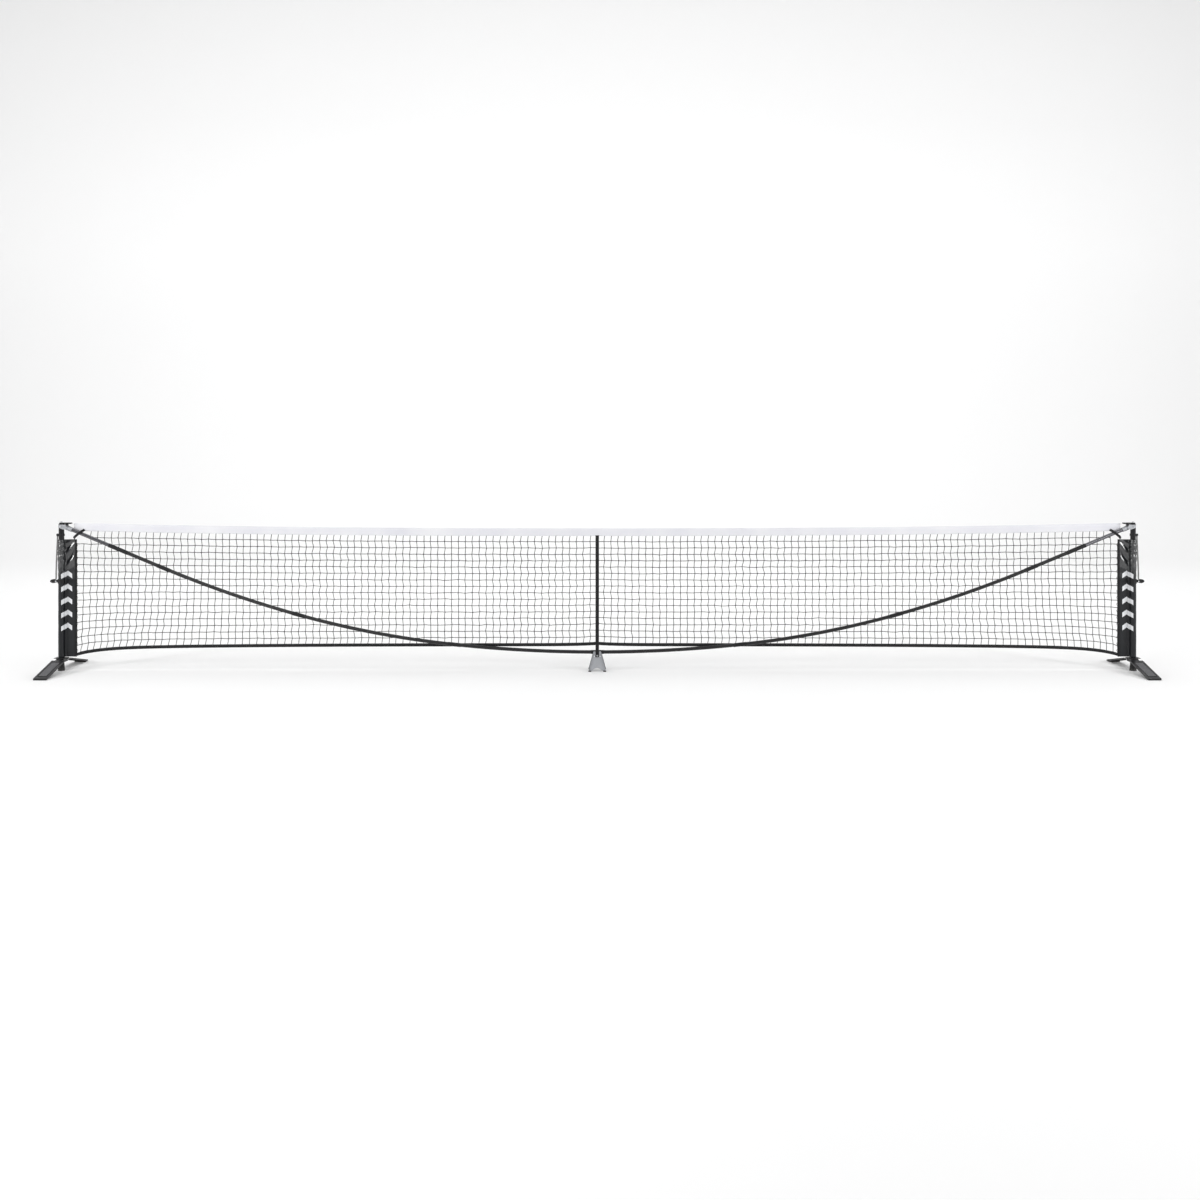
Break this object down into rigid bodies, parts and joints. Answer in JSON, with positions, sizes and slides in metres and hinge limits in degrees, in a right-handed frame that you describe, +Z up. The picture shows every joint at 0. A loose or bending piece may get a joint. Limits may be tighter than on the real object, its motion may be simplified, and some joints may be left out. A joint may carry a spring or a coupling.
{
  "type": "pickleball portable net",
  "caption": "Free-standing court net held taut by a long jointed bow between posts on folding plate feet, with a small centre stand",
  "frame": {"origin": "the floor directly under the middle of the net, midway between the two posts", "axes": "+X along the net to the right seen from the front, -Y towards the front, +Z up"},
  "size_m": [6.878, 0.6008, 0.9371],
  "materials": {
    "post_paint": "satin",
    "black_plastic": "satin",
    "boot_rubber": "matte",
    "foot_paint": "satin",
    "bracket_steel": "satin",
    "arm_paint": "satin",
    "grey_webbing": "matte",
    "bright_steel": "satin",
    "sleeve_fabric": "satin",
    "black_webbing": "matte",
    "end_tube_steel": "satin",
    "rod_black": "gloss",
    "net_cord": "matte",
    "white_tape": "matte",
    "stand_grey": "satin",
    "stand_dark": "satin"
  },
  "bodies": {
    "net_frame": {"left_post": "post_paint", "right_post": "post_paint", "left_post_cap": "black_plastic", "right_post_cap": "black_plastic", "left_boot": "boot_rubber", "right_boot": "boot_rubber", "left_foot_bracket": "foot_paint", "right_foot_bracket": "foot_paint", "left_bow_bracket": "bracket_steel", "right_bow_bracket": "bracket_steel", "left_top_arm": "arm_paint", "right_top_arm": "arm_paint", "left_strap_guide": "black_plastic", "right_strap_guide": "black_plastic", "left_tension_strap": "grey_webbing", "right_tension_strap": "grey_webbing", "left_lever_base": "black_plastic", "right_lever_base": "black_plastic", "button_springs": "bright_steel", "left_sleeve": "sleeve_fabric", "right_sleeve": "sleeve_fabric", "left_corner_strap": "black_webbing", "right_corner_strap": "black_webbing", "foot_hinge_pins": "bright_steel", "lever_pins": "bright_steel", "bracket_bolts": "bright_steel", "left_bow_end": "end_tube_steel", "right_bow_end": "end_tube_steel", "left_bow_straight": "rod_black", "right_bow_straight": "rod_black", "left_bow_outer": "rod_black", "right_bow_outer": "rod_black", "left_bow_middle": "rod_black", "right_bow_middle": "rod_black", "left_bow_inner": "rod_black", "right_bow_inner": "rod_black", "bow_couplers": "black_plastic", "netting": "net_cord", "top_tape": "white_tape", "tape_cord": "white_tape", "hem": "black_webbing", "centre_strap": "black_webbing", "strap_snap": "bright_steel", "stand_front": "stand_grey", "stand_rear": "stand_dark", "stand_saddle": "black_plastic", "stand_bolts": "bright_steel", "stand_pads": "boot_rubber"},
    "left_front_leg": {"left_front_foot": "foot_paint", "left_front_pad": "boot_rubber"},
    "right_front_leg": {"right_front_foot": "foot_paint", "right_front_pad": "boot_rubber"},
    "left_rear_leg": {"left_rear_foot": "foot_paint", "left_rear_pad": "boot_rubber"},
    "right_rear_leg": {"right_rear_foot": "foot_paint", "right_rear_pad": "boot_rubber"},
    "left_lever_arm": {"left_lever": "black_plastic"},
    "right_lever_arm": {"right_lever": "black_plastic"},
    "left_button": {"left_snap_button": "bright_steel"},
    "right_button": {"right_snap_button": "bright_steel"}
  },
  "joints": [
    {"name": "left_front_fold", "type": "hinge", "parent": "net_frame", "child": "left_front_leg", "pos_m": [-3.3695, -0.036, 0.062], "axis": [-1, 0, 0], "range_deg": [0, 88]},
    {"name": "left_rear_fold", "type": "hinge", "parent": "net_frame", "child": "left_rear_leg", "pos_m": [-3.3695, 0.036, 0.062], "axis": [1, 0, 0], "range_deg": [0, 88]},
    {"name": "right_front_fold", "type": "hinge", "parent": "net_frame", "child": "right_front_leg", "pos_m": [3.3695, -0.036, 0.062], "axis": [-1, 0, 0], "range_deg": [0, 88]},
    {"name": "right_rear_fold", "type": "hinge", "parent": "net_frame", "child": "right_rear_leg", "pos_m": [3.3695, 0.036, 0.062], "axis": [1, 0, 0], "range_deg": [0, 88]},
    {"name": "left_lever_swing", "type": "hinge", "parent": "net_frame", "child": "left_lever_arm", "pos_m": [-3.4005, 0, 0.562], "axis": [0, -1, 0], "range_deg": [0, 65]},
    {"name": "right_lever_swing", "type": "hinge", "parent": "net_frame", "child": "right_lever_arm", "pos_m": [3.4005, 0, 0.562], "axis": [0, 1, 0], "range_deg": [0, 65]},
    {"name": "left_button_press", "type": "slide", "parent": "net_frame", "child": "left_button", "axis": [0, 1, 0], "range_m": [0, 0.003], "stiffness_N_per_m": 400, "springref_m": -0.004},
    {"name": "right_button_press", "type": "slide", "parent": "net_frame", "child": "right_button", "axis": [0, 1, 0], "range_m": [0, 0.003], "stiffness_N_per_m": 400, "springref_m": -0.004}
  ]
}
